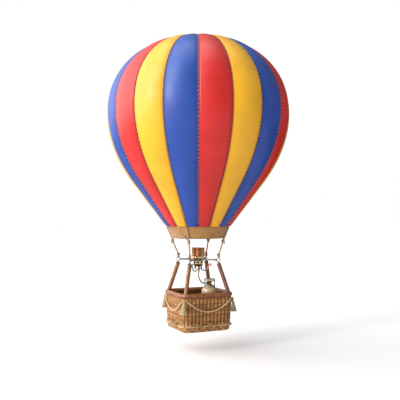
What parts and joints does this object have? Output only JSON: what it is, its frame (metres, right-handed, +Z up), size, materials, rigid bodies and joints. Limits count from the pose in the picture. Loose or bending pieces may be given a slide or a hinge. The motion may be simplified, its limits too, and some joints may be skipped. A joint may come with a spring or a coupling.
{
  "type": "model hot air balloon",
  "caption": "Craft model of a hot air balloon: sewn striped envelope with a skirt, roped over a burner and a wicker basket with a gas cylinder",
  "frame": {"origin": "centre of the envelope's widest circle, on the axis of the envelope", "axes": "+Z up through the crown; +X to the basket's right, where the gas cylinder stands; -Y out of the basket's front"},
  "size_m": [0.3988, 0.398, 0.6399],
  "materials": {
    "cotton_rope": "twisted light rope",
    "wicker": "woven willow",
    "rim_leather": "padded brown leather",
    "brass": "worn brass",
    "steel": "bright steel",
    "lever_red": "orange-red paint",
    "bronze": "darkened bronze",
    "copper": "bright copper",
    "canvas": "plain tan canvas",
    "cylinder_paint": "glossy cream-khaki paint",
    "red_cloth": "semi-gloss coated cloth",
    "yellow_cloth": "semi-gloss coated cloth",
    "blue_cloth": "semi-gloss coated cloth",
    "hose_grey": "grey, satin",
    "pole_leather": "brown, satin",
    "twine": "twisted khaki twine",
    "tassel_yarn": "loose yarn"
  },
  "bodies": {
    "root": {"base_rope": "cotton_rope", "basket": "wicker", "basket_rim": "rim_leather", "burner_block": "brass", "burner_cross": "steel", "burner_manifold": "brass", "burner_valve": "lever_red", "can_left": "bronze", "can_middle": "copper", "can_right": "bronze", "crown_patch": "canvas", "cylinder_collar": "steel", "cylinder_tap": "brass", "gas_cylinder": "cylinder_paint", "gore_01": "red_cloth", "gore_02": "yellow_cloth", "gore_03": "blue_cloth", "gore_04": "red_cloth", "gore_05": "yellow_cloth", "gore_06": "blue_cloth", "gore_07": "red_cloth", "gore_08": "yellow_cloth", "gore_09": "blue_cloth", "gore_10": "red_cloth", "gore_11": "yellow_cloth", "gore_12": "blue_cloth", "gore_13": "red_cloth", "gore_14": "yellow_cloth", "gore_15": "blue_cloth", "gore_16": "red_cloth", "gore_17": "yellow_cloth", "gore_18": "blue_cloth", "link_back_left": "steel", "link_back_right": "steel", "link_front_left": "steel", "link_front_right": "steel", "main_hose": "hose_grey", "pipe_left": "steel", "pipe_right": "steel", "pole_back_left": "pole_leather", "pole_back_right": "pole_leather", "pole_front_left": "pole_leather", "pole_front_right": "pole_leather", "skirt": "canvas", "stay_back_left": "twine", "stay_back_right": "twine", "stay_front_left": "twine", "stay_front_right": "twine", "swag_back": "cotton_rope", "swag_front": "cotton_rope", "swag_left": "cotton_rope", "swag_right": "cotton_rope", "tassel_back_left": "tassel_yarn", "tassel_back_right": "tassel_yarn", "tassel_front_left": "tassel_yarn", "tassel_front_right": "tassel_yarn"}
  },
  "joints": []
}
